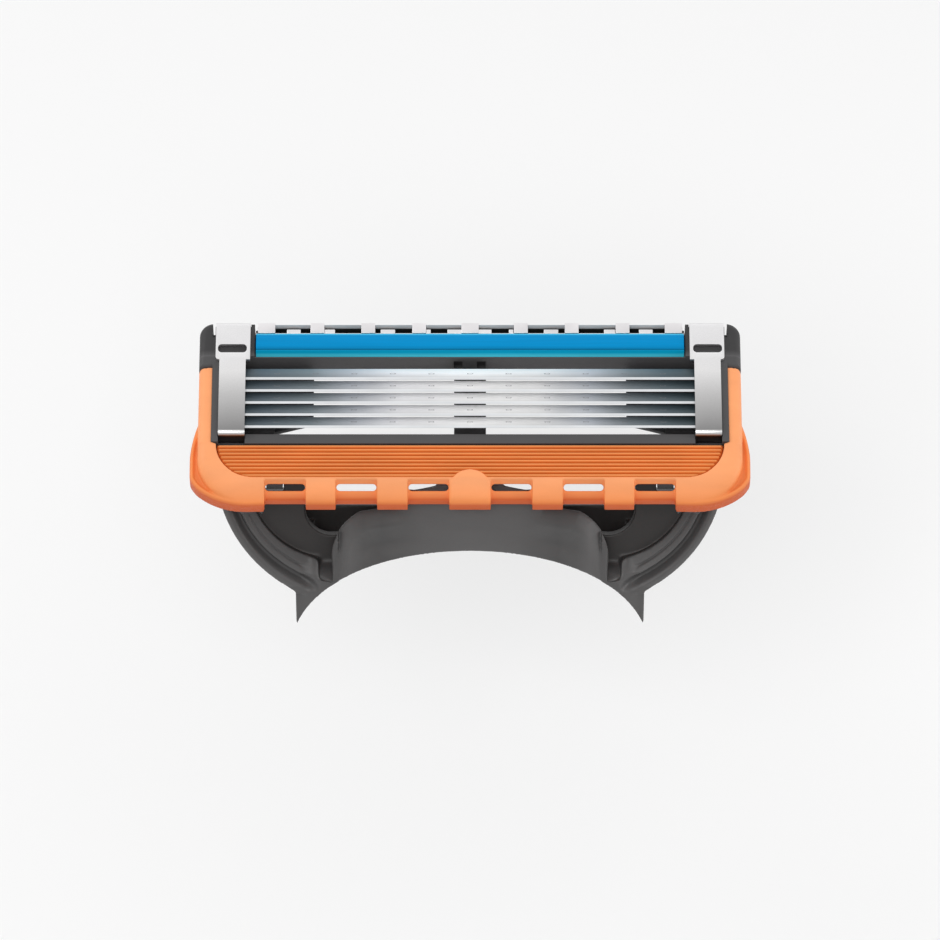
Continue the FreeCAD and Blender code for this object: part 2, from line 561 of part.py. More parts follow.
def socket_space():
    """Room for the handle's tongue, open at the mouth and below the back bridge."""
    cavity = box(-SOCKET_HALF, SOCKET_HALF, -FAR, 0, SOCKET_BACK, SOCKET_FRONT)
    open_back = box(-SOCKET_HALF, SOCKET_HALF, -FAR, BRIDGE_END, BACK_PLANE - 1, 0)
    return [cavity.cut(end_slope(-1.5, -4.0)), open_back]


def connecting_member_flat():
    """The member in its flat drawing."""
    front = bulge(COWL_TOP)
    shell = extruded_t(cowl_outline(), BACK_PLANE - 1, COWL_TOP + 2, COWL_LEAN)
    shell = shell.common(front).cut(bulge(COWL_TOP - COWL_WALL))
    foot_space = box(FOOT_INNER, FOOT_OUTER, TIP_END, FOOT_TOP, BACK_PLANE - 1, FAR)
    foot = extruded_t(arm_outline(0.0), BACK_PLANE, COWL_TOP + 2).common(foot_space).common(front)
    back = box(SOCKET_HALF, BACK_OUTER, BACK_END, BACK_TOP, BACK_PLANE, BACK_PLANE + BACK_WALL)
    link = box(BACK_OUTER - 0.9, BACK_OUTER, FOOT_TOP - 0.1, -5.4, BACK_PLANE, WEB_BACK)
    side = box(SOCKET_OUTER - 0.4, FOOT_INNER + 0.1, FOOT_TOP - 1, -6.2, WEB_BACK, COWL_TOP).common(front)
    lug = cylinder_x(EAR_RADIUS, LUG_INNER, LUG_OUTER, 0, 0)
    stalk = box(LUG_INNER, LUG_OUTER, -3.2, 0, WEB_BACK, 1.2)
    pin = cylinder_x(TRUNNION_RADIUS, EAR_INNER - 0.15, LUG_INNER, 0, 0)
    half = joined([arms(), shell, foot, socket_block(), back, link, side, lug, stalk, pin])
    body = joined(both_sides(half))
    plunger = box(-PLUNGER_HALF, PLUNGER_HALF, PLUNGER_END, 1, BACK_PLANE - 1, PLUNGER_TOP)
    return body.cut([mouth(), plunger] + socket_space()).removeSplitter()


def placed_member(shape):
    """From the flat drawing to the place under the head."""
    shape.rotate(V(0, 0, 0), V(1, 0, 0), MEMBER_TILT)
    shape.translate(PIVOT)
    return shape


# ---- store ----------------------------------------------------------------------------------
def dock_point():
    """Middle of the socket's mouth, which is the origin of the stored pieces."""
    local = V(0, MOUTH_TOP, (SOCKET_BACK + SOCKET_FRONT) / 2)
    tilt = FreeCAD.Rotation(V(1, 0, 0), MEMBER_TILT)
    return tilt.multVec(local) + PIVOT


def store(name, shape):
    """Write one piece with the origin at the dock."""
    stored = shape.copy()
    stored.translate(dock_point() * -1)
    if not stored.isValid() or len(stored.Solids) != 1:
        print("check", name, stored.isValid(), len(stored.Solids))
    stored.exportStep("parts/" + name + ".step")


def main():
    """Make every piece."""
    os.makedirs("parts", exist_ok=True)
    store("housing", housing())
    store("guard_elastomer", guard_elastomer())
    store("strip_main", strip_main())
    store("strip_front_band", strip_front_band())
    for index in range(BLADES):
        store("blade_%d" % (index + 1), blade(index))
        store("blade_support_%d" % (index + 1), blade_support(index))
    store("clip_right", clip_right())
    store("clip_left", mirrored(clip_right()))
    store("trimmer_carrier", trimmer_carrier())
    store("trimmer_blade", trimmer_blade())
    store("connecting_member", placed_member(connecting_member_flat()))
    print("dock", dock_point())


main()
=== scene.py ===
"""Looks of a five-blade shaving cartridge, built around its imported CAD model.

Shapes are drawn in millimetres about the middle of the frame, as the CAD part is drawn:
X along the blades, Y from the guard to the cap, Z out of the shaving plane. finished()
moves them to the frame's metres.
"""
import json
import math

import bmesh
import bpy
from mathutils import Matrix, Vector


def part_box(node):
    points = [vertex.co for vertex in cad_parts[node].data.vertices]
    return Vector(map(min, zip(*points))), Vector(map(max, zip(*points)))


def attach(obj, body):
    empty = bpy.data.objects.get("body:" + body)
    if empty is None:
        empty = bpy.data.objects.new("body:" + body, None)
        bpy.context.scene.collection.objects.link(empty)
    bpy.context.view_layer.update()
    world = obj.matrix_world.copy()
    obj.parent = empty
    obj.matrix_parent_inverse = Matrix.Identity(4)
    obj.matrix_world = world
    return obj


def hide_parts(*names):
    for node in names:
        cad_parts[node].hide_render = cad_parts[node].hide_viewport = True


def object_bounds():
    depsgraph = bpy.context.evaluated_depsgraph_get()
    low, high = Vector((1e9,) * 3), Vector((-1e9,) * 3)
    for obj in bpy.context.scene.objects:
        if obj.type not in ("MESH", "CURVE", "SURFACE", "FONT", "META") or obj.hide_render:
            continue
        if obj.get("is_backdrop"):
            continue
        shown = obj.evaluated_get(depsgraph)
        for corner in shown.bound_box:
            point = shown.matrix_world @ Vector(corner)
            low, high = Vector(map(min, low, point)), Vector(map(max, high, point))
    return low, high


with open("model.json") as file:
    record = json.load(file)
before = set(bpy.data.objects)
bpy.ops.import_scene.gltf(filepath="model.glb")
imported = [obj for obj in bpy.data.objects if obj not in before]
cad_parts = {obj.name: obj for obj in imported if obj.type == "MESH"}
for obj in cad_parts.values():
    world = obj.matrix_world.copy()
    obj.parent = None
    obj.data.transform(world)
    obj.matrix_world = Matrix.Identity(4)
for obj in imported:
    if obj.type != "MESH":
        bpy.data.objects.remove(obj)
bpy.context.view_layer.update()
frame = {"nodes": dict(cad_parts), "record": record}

MM = 0.001
PACK_SHIFT = -0.2            # place of the middle blade's edge
edge_low, edge_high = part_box("blade_3")
ORIGIN = Vector((0.0, edge_low[1] - PACK_SHIFT * MM, edge_high[2]))
PIVOT = Vector((0, -3.6, -3.9))
MEMBER_TILT = math.radians(50)       # the handle's line below the shaving plane


def spot(x, y, z):
    """A drawn place, in the frame's metres."""
    return ORIGIN + Vector((x, y, z)) * MM


# ---- materials -----------------------------------------------------------------------------
def linear(red, green, blue):
    """Linear colour of an 8-bit display colour."""
    shares = [c / 255 for c in (red, green, blue)]
    return tuple(c / 12.92 if c < 0.0405 else ((c + 0.055) / 1.055) ** 2.4 for c in shares)


class Finish:
    """Node material with a colour that varies, a rough map and layers of bump."""

    def __init__(self, name, colour, roughness, metallic=0.0, **sockets):
        self.material = bpy.data.materials.new(name)
        self.material.use_nodes = True
        self.tree = self.material.node_tree
        self.bsdf = self.tree.nodes["Principled BSDF"]
        self.bsdf.inputs["Base Color"].default_value = (*colour, 1.0)
        self.bsdf.inputs["Roughness"].default_value = roughness
        self.bsdf.inputs["Metallic"].default_value = metallic
        for socket, value in sockets.items():
            self.bsdf.inputs[socket.replace("_", " ")].default_value = value
        self.place = self.node("ShaderNodeTexCoord").outputs["Object"]
        self.base = None
        self.normal = None

    def node(self, kind, **settings):
        """New node with its settings."""
        node = self.tree.nodes.new(kind)
        for key, value in settings.items():
            setattr(node, key, value)
        return node

    def link(self, a, b):
        """Join an output to an input."""
        self.tree.links.new(a, b)

    def stretched(self, x, y, z):
        """Object place with its axes scaled."""
        mapping = self.node("ShaderNodeMapping")
        self.link(self.place, mapping.inputs["Vector"])
        mapping.inputs["Scale"].default_value = (x, y, z)
        return mapping.outputs["Vector"]

    def noise(self, vector, size, detail=3.0):
        """Noise with blobs of that size in millimetres."""
        noise = self.node("ShaderNodeTexNoise")
        self.link(vector, noise.inputs["Vector"])
        noise.inputs["Scale"].default_value = 1.0 / (size * MM)
        noise.inputs["Detail"].default_value = detail
        return noise.outputs["Fac"]

    def ramp(self, fac, stops):
        """Colour along a factor."""
        ramp = self.node("ShaderNodeValToRGB")
        self.link(fac, ramp.inputs["Fac"])
        elements = ramp.color_ramp.elements
        while len(elements) < len(stops):
            elements.new(0.5)
        for element, (position, colour) in zip(elements, stops):
            element.position = position
            element.color = (*colour, 1.0)
        return ramp.outputs["Color"]

    def along(self, axis, low, high):
        """Share of the way from low to high along a drawn axis."""
        parts = self.node("ShaderNodeSeparateXYZ")
        self.link(self.place, parts.inputs["Vector"])
        spread = self.node("ShaderNodeMapRange")
        start = ORIGIN["XYZ".index(axis)]
        self.link(parts.outputs[axis], spread.inputs["Value"])
        spread.inputs["From Min"].default_value = start + low * MM
        spread.inputs["From Max"].default_value = start + high * MM
        return spread.outputs["Result"]

    def colour(self, source):
        """Set the base colour to a source."""
        self.link(source, self.bsdf.inputs["Base Color"])
        self.base = source

    def shade(self, fac, stops):
        """Base colour multiplied by grey levels along a factor."""
        mix = self.node("ShaderNodeMix", data_type="RGBA", blend_type="MULTIPLY")
        mix.inputs["Factor"].default_value = 1.0
        if self.base:
            self.link(self.base, mix.inputs["A"])
        else:
            mix.inputs["A"].default_value = self.bsdf.inputs["Base Color"].default_value
        self.link(self.ramp(fac, [(place, (level,) * 3) for place, level in stops]), mix.inputs["B"])
        self.colour(mix.outputs["Result"])

    def mottle_and_painted_shade(self, fac, low, high):
        """Base colour made darker and lighter along a factor, which is a noise for mottled tone and a place
        along an axis for painted shade.
        """
        self.shade(fac, [(0.3, low), (0.7, high)])

    def rough(self, fac, low, high):
        """Roughness between two values along a noise."""
        spread = self.node("ShaderNodeMapRange")
        self.link(fac, spread.inputs["Value"])
        spread.inputs["From Min"].default_value = 0.3
        spread.inputs["From Max"].default_value = 0.7
        spread.inputs["To Min"].default_value = low
        spread.inputs["To Max"].default_value = high
        self.link(spread.outputs["Result"], self.bsdf.inputs["Roughness"])

    def bump(self, height, strength, depth):
        """Bump layer, its depth in millimetres."""
        bump = self.node("ShaderNodeBump")
        bump.inputs["Strength"].default_value = strength
        bump.inputs["Distance"].default_value = depth * MM
        self.link(height, bump.inputs["Height"])
        if self.normal:
            self.link(self.normal, bump.inputs["Normal"])
        self.normal = bump.outputs["Normal"]
        self.link(self.normal, self.bsdf.inputs["Normal"])


def grained(finish, low, high, grain):
    """Fine spark grain, soft flow marks and a rough map."""
    flow = finish.noise(finish.stretched(0.3, 1, 1), 1.6)
    fine = finish.noise(finish.place, grain, 2.0)
    finish.mottle_and_painted_shade(flow, 0.94, 1.04)
    finish.rough(fine, low, high)
    finish.bump(fine, 0.35, grain * 0.25)
    finish.bump(flow, 0.15, 0.05)


def moulded(name, colour, low, high, grain, **sockets):
    """Moulded plastic of one colour."""
    finish = Finish(name, colour, high, **sockets)
    grained(finish, low, high, grain)
    return finish


def rolled(name, colour, low, high, streaks, **sockets):
    """Rolled or ground metal with streaks along one axis."""
    finish = Finish(name, colour, high, sockets.pop("Metallic", 1.0), **sockets)
    lines = finish.noise(finish.stretched(*streaks), 0.05, 4.0)
    cloud = finish.noise(finish.place, 2.5)
    finish.rough(lines, low, high)
    finish.bump(lines, 0.12, 0.004)
    finish.cloud = cloud
    return finish


def number(finish, operation, first, second=None):
    """Math node on one or two sources."""
    node = finish.node("ShaderNodeMath", operation=operation)
    for socket, source in zip(node.inputs, (first, second)):
        if isinstance(source, float):
            socket.default_value = source
        elif source is not None:
            finish.link(source, socket)
    return node.outputs[0]


def guard_rubber(name, painted_shades):
    """Soft rubber, paler on its top and darker down its sides and in the fins' valleys as painted shade, with
    a dotted grip on the outside of the lower wings.
    """
    bottom, top = -2.4, -0.1
    dot_pitch, grip_start = 0.17, 15.5
    finish = Finish(name, painted_shades[-1][1], 0.5, Specular_IOR_Level=0.3)
    height = finish.along("Z", bottom, top)
    # painted shade: the rubber's colour darkens down from its top, on the rim's sides and front and between
    # the fins
    finish.colour(finish.ramp(height, [((z - bottom) / (top - bottom), colour) for z, colour in painted_shades]))
    grained(finish, 0.42, 0.6, 0.1)
    dots = finish.node("ShaderNodeTexVoronoi")
    finish.link(finish.place, dots.inputs["Vector"])
    dots.inputs["Scale"].default_value = 1 / (dot_pitch * MM)
    parts = finish.node("ShaderNodeSeparateXYZ")
    finish.link(finish.place, parts.inputs["Vector"])
    far = number(finish, "GREATER_THAN", number(finish, "ABSOLUTE", parts.outputs["X"]), grip_start * MM)
    mask = number(finish, "MULTIPLY", finish.along("Z", -1.42, -1.62), far)
    finish.bump(number(finish, "MULTIPLY", dots.outputs["Distance"], mask), 0.6, 0.05)
    return finish


def blade_steel():
    """Ground steel with a painted reflection, dark blue-grey towards the ends of the blades and pale in the
    middle, a painted highlight along the edge and painted light deep on each face.
    """
    half = 18.4
    finish = rolled("blade_steel", (0.8, 0.8, 0.8), 0.3, 0.42, (1, 0.02, 0.02), Metallic=0.5)
    # painted reflection along the blades: dark blue-grey at the ends, pale in the middle
    stops = [(-18.4, (46, 58, 61)), (-15.5, (84, 95, 103)), (-12, (112, 122, 127)), (-9, (166, 170, 176)),
             (-5, (219, 219, 221)), (0, (236, 236, 236)), (5, (216, 216, 216)), (9, (173, 177, 183)),
             (12, (112, 120, 125)), (14.5, (82, 94, 100)), (18.4, (44, 58, 62))]
    share = finish.along("X", -half, half)
    face = finish.ramp(share, [((x + half) / (2 * half), linear(*c)) for x, c in stops])
    # painted highlight along the top of each edge
    mix = finish.node("ShaderNodeMix", data_type="RGBA")
    finish.link(finish.along("Z", -0.07, -0.055), mix.inputs["Factor"])
    finish.link(face, mix.inputs["A"])
    mix.inputs["B"].default_value = (0.88, 0.9, 0.92, 1.0)
    finish.colour(mix.outputs["Result"])
    # painted light, paler towards the rear of each face to lift its shade, and painted shade, slightly darker
    # near the edge
    finish.shade(finish.along("Z", -0.46, 0.2), [(0.0, 1.7), (0.3, 1.4), (0.7, 0.72)])
    finish.mottle_and_painted_shade(finish.cloud, 0.95, 1.04)
    return finish


def clip_aluminium():
    """Satin aluminium with painted light: painted highlights at its bends, a painted shadow line at its front
    edge and painted shade greyer along its lower run.
    """
    front, rear = -3.0, 6.9
    finish = rolled("clip_aluminium", (0.85, 0.85, 0.86), 0.28, 0.42, (0.05, 1, 1))
    # painted shadow line, highlight and shade along the clip, front to rear
    stops = [(-3.0, (92, 88, 87)), (-2.9, (240, 240, 240)), (-2.72, (236, 236, 236)),
             (-2.62, (146, 145, 145)), (-1.0, (178, 177, 177)), (0.5, (203, 202, 202)),
             (2.5, (238, 237, 237)), (4.5, (240, 239, 240)), (6.6, (238, 237, 238))]
    share = finish.along("Y", front, rear)
    finish.colour(finish.ramp(share, [((y - front) / (rear - front), linear(*c)) for y, c in stops]))
    finish.mottle_and_painted_shade(finish.noise(finish.place, 0.07, 2.0), 0.95, 1.02)
    return finish


def frame_plastic():
    """Dark frame with painted light on the walls round the blades and painted shade darker at the rear
    corners.
    """
    finish = moulded("frame_plastic", linear(76, 75, 76), 0.4, 0.58, 0.09, Specular_IOR_Level=0.3)
    # painted shade: darker towards the rear, round the strip and at the rear corners
    finish.mottle_and_painted_shade(finish.along("Y", 3.8, 4.8), 1.05, 0.55)
    # painted light on the wall behind the blades
    finish.shade(finish.along("Y", 3.9, 4.1), [(0.0, 1.0), (0.5, 1.3), (1.0, 1.0)])
    return finish


def plain_metal(name, colour, metallic=1.0):
    """Rolled metal or silvered plastic of one colour."""
    finish = rolled(name, colour, 0.3, 0.45, (0.05, 1, 1), Metallic=metallic)
    finish.mottle_and_painted_shade(finish.cloud, 0.9, 1.05)
    return finish


def shaded_silver(name, colour, level, depth, rear, metallic=1.0):
    """Silver finish that falls into shade below a level, except on its rear face."""
    finish = plain_metal(name, colour, metallic)
    deep = finish.along("Z", level, level - depth)
    front = number(finish, "LESS_THAN", finish.along("Y", 0.0, rear), 1.0)
    finish.shade(number(finish, "MULTIPLY", deep, front), [(0.0, 1.0), (1.0, 0.03)])
    return finish


def gel(name, stops):
    """Lubricating strip: smooth waxy gel with faint flow lines, its colour set along Y, with painted
    highlights and painted shade lines at its edges.
    """
    finish = Finish(name, linear(*stops[0][1]), 0.4, Specular_IOR_Level=0.06)
    low, high = stops[0][0], stops[-1][0]
    shares = [((y - low) / (high - low), linear(*c)) for y, c in stops]
    finish.colour(finish.ramp(finish.along("Y", low, high), shares))
    lines = finish.noise(finish.stretched(0.02, 1, 1), 0.12, 2.0)
    specks = finish.noise(finish.place, 0.08, 2.0)
    finish.mottle_and_painted_shade(lines, 0.95, 1.04)
    finish.rough(specks, 0.32, 0.5)
    finish.bump(specks, 0.2, 0.02)
    finish.bump(lines, 0.25, 0.02)
    return finish


YOKE_REACH = 18.0
# painted shade across the yoke, from the middle outwards: face, valley, ridge, arm
YOKE_PAINTED_SHADE = [(0.0, 1.08), (3.5, 1.02), (6.6, 0.72), (8.0, 0.82), (9.0, 1.08), (10.2, 0.8), (12.0, 0.92)]


def yoke_plastic():
    """Black plastic with painted shade, darker in its recesses and along its valleys."""
    low, high = -0.35, 0.65
    # painted shade: darker the deeper a surface lies in the member
    painted_shades = [(0.0, linear(52, 49, 48)), (0.6, linear(84, 83, 83)), (1.0, linear(90, 89, 89))]
    finish = Finish("yoke_plastic", linear(88, 87, 87), 0.4, Specular_IOR_Level=0.45)
    height = finish.node("ShaderNodeVectorMath", operation="DOT_PRODUCT")
    finish.link(finish.place, height.inputs[0])
    height.inputs[1].default_value = (0, -math.sin(MEMBER_TILT), math.cos(MEMBER_TILT))
    pivot = spot(*PIVOT).dot(Vector(height.inputs[1].default_value))
    share = finish.node("ShaderNodeMapRange")
    finish.link(height.outputs["Value"], share.inputs["Value"])
    share.inputs["From Min"].default_value = pivot + low * MM
    share.inputs["From Max"].default_value = pivot + high * MM
    finish.colour(finish.ramp(share.outputs["Result"], painted_shades))
    parts = finish.node("ShaderNodeSeparateXYZ")
    finish.link(finish.place, parts.inputs["Vector"])
    side = finish.node("ShaderNodeMapRange")
    finish.link(number(finish, "ABSOLUTE", parts.outputs["X"]), side.inputs["Value"])
    side.inputs["From Max"].default_value = YOKE_REACH * MM
    # painted shade along the cowl's valleys and painted light on its ridges
    finish.shade(side.outputs["Result"], [(x / YOKE_REACH, level) for x, level in YOKE_PAINTED_SHADE])
    grained(finish, 0.34, 0.48, 0.1)
    return finish


def paper():
    """Plain white backdrop paper with a very fine tooth."""
    finish = Finish("floor_paper", (0.9, 0.9, 0.9), 0.9, Specular_IOR_Level=0.1)
    tooth = finish.noise(finish.place, 0.3, 2.0)
    finish.rough(tooth, 0.85, 0.95)
    return finish


# rubber colours by height: the lower, darker ones are painted shade on the rim's sides and front and in the
# valleys between the fins
RIM_PAINTED_SHADE = [(-2.4, linear(204, 90, 40)), (-1.5, linear(212, 98, 42)), (-1.2, linear(242, 142, 78)),
              (-0.8, linear(249, 156, 96)), (-0.3, linear(250, 164, 108))]
FIN_PAINTED_SHADE = [(-1.2, linear(190, 84, 22)), (-0.42, linear(206, 104, 36)), (-0.26, linear(230, 136, 68)),
              (-0.14, linear(240, 150, 84))]
# strip colours along Y: the gel's own blue and teal, with painted shade lines at the front edges and painted
# highlights at the rear top edge and the band's lower edge
STRIP_COLOUR_AND_LIGHT = [(4.43, (0, 96, 132)), (4.52, (0, 122, 174)), (4.8, (0, 137, 196)), (5.72, (0, 138, 198)),
                (5.84, (70, 184, 226)), (5.98, (90, 200, 232))]
BAND_COLOUR_AND_LIGHT = [(4.05, (64, 190, 214)), (4.14, (66, 190, 214)), (4.24, (0, 156, 196)), (4.37, (0, 140, 186)),
               (4.43, (0, 104, 140))]
FINISHES = {
    "housing": frame_plastic(),
    "guard": guard_rubber("guard_rubber", RIM_PAINTED_SHADE),
    "strip": gel("strip_blue", STRIP_COLOUR_AND_LIGHT),
    "strip_band": gel("strip_teal", BAND_COLOUR_AND_LIGHT),
    "blade_steel": blade_steel(),
    "support_steel": plain_metal("support_steel", (0.5, 0.5, 0.52)),
    "clip": clip_aluminium(),
    "trimmer_comb": shaded_silver("comb_silver", (0.85, 0.83, 0.84), -0.45, 0.12, 7.05),
    "trimmer_steel": shaded_silver("trimmer_steel", (0.9, 0.9, 0.91), -0.68, 0.1, 6.9, 0.2),
    "member": yoke_plastic(),
}
M = {slot: finish.material for slot, finish in FINISHES.items()}
for part in frame["record"]["subparts"]:
    node = frame["nodes"][part["node"]]
    node.data.materials.clear()
    node.data.materials.append(M[part["material_slot"]])


# ---- mesh tools ----------------------------------------------------------------------------
def new_object(name, bm):
    """Blender object of a bmesh, still in drawn millimetres."""
    bmesh.ops.recalc_face_normals(bm, faces=bm.faces)
    mesh = bpy.data.meshes.new(name)
    bm.to_mesh(mesh)
    bm.free()
    obj = bpy.data.objects.new(name, mesh)
    bpy.context.collection.objects.link(obj)
    return obj


def loft(name, rings):
    """Closed skin over rings of equal length, capped at both ends."""
    bm = bmesh.new()
    rows = [[bm.verts.new(p) for p in ring] for ring in rings]
    count = len(rows[0])
    for a, b in zip(rows, rows[1:]):
        for i in range(count):
            j = (i + 1) % count
            bm.faces.new((a[i], a[j], b[j], b[i]))
    bm.faces.new(rows[0])
    bm.faces.new(rows[-1])
    return new_object(name, bm)


def prism(name, outline, axis, start, end):
    """Outline of 2-D points extruded along an axis from start to end."""
    def at(p, level):
        two = list(p)
        two.insert("XYZ".index(axis), level)
        return Vector(two)
    return loft(name, [[at(p, start) for p in outline], [at(p, end) for p in outline]])


def block(name, x0, x1, y0, y1, z0, z1):
    """Box between two corners."""
    return prism(name, [(x0, y0), (x1, y0), (x1, y1), (x0, y1)], "Z", z0, z1)


def curve_through(points, steps):
    """Catmull-Rom curve through points, with that many steps in each span."""
    pts = [Vector(p) for p in points]
    pts = [pts[0] * 2 - pts[1]] + pts + [pts[-1] * 2 - pts[-2]]
    out = []
    for a, b, c, d in zip(pts, pts[1:], pts[2:], pts[3:]):
        for i in range(steps):
            t = i / steps
            out.append((b * 2 + (c - a) * t + (a * 2 - b * 5 + c * 4 - d) * t * t
                        + (b * 3 - a - c * 3 + d) * t ** 3) / 2)
    out.append(pts[-2])
    return out


def modified(obj, kind, **settings):
    """Object with one modifier applied."""
    modifier = obj.modifiers.new(kind, kind)
    for key, value in settings.items():
        setattr(modifier, key, value)
    depsgraph = bpy.context.evaluated_depsgraph_get()
    mesh = bpy.data.meshes.new_from_object(obj.evaluated_get(depsgraph))
    obj.modifiers.clear()
    obj.data = mesh
    return obj


def joined(name, objs):
    """One object of several, with their faces kept apart."""
    bm = bmesh.new()
    for obj in objs:
        bm.from_mesh(obj.data)
        bpy.data.objects.remove(obj)
    mesh = bpy.data.meshes.new(name)
    bm.to_mesh(mesh)
    bm.free()
    obj = bpy.data.objects.new(name, mesh)
    bpy.context.collection.objects.link(obj)
    return obj


def cut(obj, cutters):
    """Object less the cutters."""
    tool = joined("tool", cutters)
    modified(obj, "BOOLEAN", operation="DIFFERENCE", object=tool, solver="EXACT", use_self=True)
    bpy.data.objects.remove(tool)
    return obj


def melted(obj, voxel, rounds):
    """Overlapping closed shells made one skin, with its edges softened."""
    modified(obj, "REMESH", mode="VOXEL", voxel_size=voxel, use_smooth_shade=True)
    return modified(obj, "SMOOTH", factor=0.5, iterations=rounds)


def mirror_x(points):
    """The same points on the other side of the middle plane."""
    return [Vector((-p[0], p[1], p[2])) for p in points]


def from_cad(name, node):
    """Copy of a CAD node's mesh in drawn millimetres."""
    mesh = frame["nodes"][node].data.copy()
    mesh.transform(Matrix.Diagonal((1 / MM, 1 / MM, 1 / MM, 1)) @ Matrix.Translation(-ORIGIN))
    obj = bpy.data.objects.new(name, mesh)
    bpy.context.collection.objects.link(obj)
    bm = bmesh.new()
    bm.from_mesh(mesh)
    bmesh.ops.remove_doubles(bm, verts=bm.verts, dist=0.002)
    bm.to_mesh(mesh)
    bm.free()
    return obj


def finished(obj, body, slot, nodes, smooth=True):
    """Move a drawn piece into the frame, on its body and with its material."""
    mesh = obj.data
    mesh.transform(Matrix.Translation(ORIGIN) @ Matrix.Diagonal((MM, MM, MM, 1)))
    mesh.materials.clear()
    mesh.materials.append(M[slot])
    mesh.shade_smooth() if smooth else mesh.shade_flat()
    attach(obj, body)
    if nodes:
        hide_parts(*nodes)
    return obj


# ---- soft guard ------------------------------------------------------------------------------
RIM_OUTER, RIM_INNER, RIM_REAR = 20.4, 19.38, 3.0
PAD_HALF, PAD_REAR, PAD_RADIUS = 19.0, -3.58, 2.8
PAD_BOTTOM = -1.2
LIP_FRONT = -8.12
CORNER_RADIUS = 3.6
CORNER_X, CORNER_Y = RIM_OUTER - CORNER_RADIUS, LIP_FRONT + CORNER_RADIUS
SLOT_PLACES = (3.1, 8.48, 13.8)
SLOT_WIDTH, SLOT_HEIGHT = 3.0, 0.52
TAB_RADIUS = 1.46            # round end of the middle tab
GUARD_VOXEL, GUARD_ROUNDS = 0.06, 2
# rim sections as (share of the way in from the outer face, height)
SIDE_SECTION = [(0, -2.5), (0, -1.2), (0.02, -0.8), (0.13, -0.42), (0.36, -0.18), (0.7, -0.11), (1, -0.12)]
FRONT_SECTION = [(0, -2.2), (0, -1.6), (0.03, -1.32), (0.13, -1.08), (0.45, -0.75), (0.8, -0.4), (1, -0.2)]


def rim_stations():
    """Outer and inner plan points of the right rim, rear to middle, and their share of front."""
    stations = []
    for y in (RIM_REAR, 1.5, 0.0, -1.5, -2.5, -3.4):
        stations.append(((RIM_OUTER, y), (RIM_INNER, y), 0.0))
    stations.append(((RIM_OUTER, PAD_REAR), (PAD_HALF, PAD_REAR), 0.0))
    for step in range(0, 19):
        a = math.radians(5 * step)
        share = step / 18
        outer = (CORNER_X + CORNER_RADIUS * math.cos(a), CORNER_Y - CORNER_RADIUS * math.sin(a))
        inner = (PAD_HALF - PAD_RADIUS + PAD_RADIUS * math.cos(a), PAD_REAR - PAD_RADIUS * math.sin(a))
        stations.append((outer, inner, share * share * (3 - 2 * share)))
    for x in (15.6, 12.0, 8.0, 4.0, 0.0):
        stations.append(((x, LIP_FRONT), (x, PAD_REAR - PAD_RADIUS), 1.0))
    return stations


def rim_ring(outer, inner, share):
    """Closed section of the rim between its outer and inner plan points."""
    keys = []
    for (sf, sz), (ff, fz) in zip(SIDE_SECTION, FRONT_SECTION):
        keys.append(Vector((sf + (ff - sf) * share, sz + (fz - sz) * share)))
    section = curve_through(keys, 4)
    section += [Vector((1.0, PAD_BOTTOM)), Vector((1.0 - 0.3 * share, -2.5 + 0.3 * share))]
    ring = []
    for f, z in section:
        ring.append(Vector((outer[0] + (inner[0] - outer[0]) * f, outer[1] + (inner[1] - outer[1]) * f, z)))
    return ring


def guard_rim():
    """Rim along both sides and round the front, one closed sweep."""
    right = [rim_ring(*station) for station in rim_stations()]
    left = [mirror_x(ring) for ring in reversed(right[:-1])]
    return loft("rim", right + left)


FLANGE_EDGE = [(20.3, -0.9), (20.62, -1.9), (20.84, -2.9), (20.97, -3.9), (20.98, -5.0), (20.95, -5.9),
               (20.75, -6.35), (20.35, -6.85), (19.6, -7.4), (18.6, -7.86), (17.3, -8.14), (15.42, -8.14)]

# section of the flange as (distance in from its edge, height)
FLANGE_SECTION = [(0, -2.48), (0, -1.45), (0.05, -1.25), (0.16, -1.14), (0.26, -1.16), (0.36, -1.3),
                  (0.9, -1.3), (0.9, -2.48)]


def guard_flange(side):
    """Lower wing that stands out past the rim at one front corner."""
    edge = [Vector((x, y)) for x, y in FLANGE_EDGE]
    path = curve_through(edge, 4)
    rings = []
    for i, p in enumerate(path):
        along = (path[min(i + 1, len(path) - 1)] - path[max(i - 1, 0)]).normalized()
        inward = Vector((along.y, -along.x))
        if i == len(path) - 1:
            inward = Vector((0, 1))
        ring = [Vector((p.x + inward.x * d, p.y + inward.y * d, z)) for d, z in FLANGE_SECTION]
        rings.append(ring if side > 0 else mirror_x(ring))
    return loft("flange", rings)


def guard_tab():
    """Rounded tab over the middle of the guard."""
    radius = TAB_RADIUS
    surface = [(-5.78, -0.12), (-6.42, -0.12), (-7.0, -0.44), (-7.6, -0.79), (-7.93, -1.03), (-8.1, -1.3),
               (-8.13, -1.8)]
    points = curve_through([Vector(p) for p in surface], 6)
    rings, run = [], 0.0
    for i, p in enumerate(points):
        if i:
            run += (p - points[i - 1]).length
        half = math.sqrt(max(radius ** 2 - max(radius - run, 0) ** 2, 0.01))
        inner = Vector((p.x + 0.35, p.y - 0.5))
        low = Vector((p.x + 0.02, p.y - 0.08))
        rings.append([Vector((-half, *inner)), Vector((-half, *low)), Vector((-half + 0.08, *p)),
                      Vector((half - 0.08, *p)), Vector((half, *low)), Vector((half, *inner))])
    return loft("tab", rings)


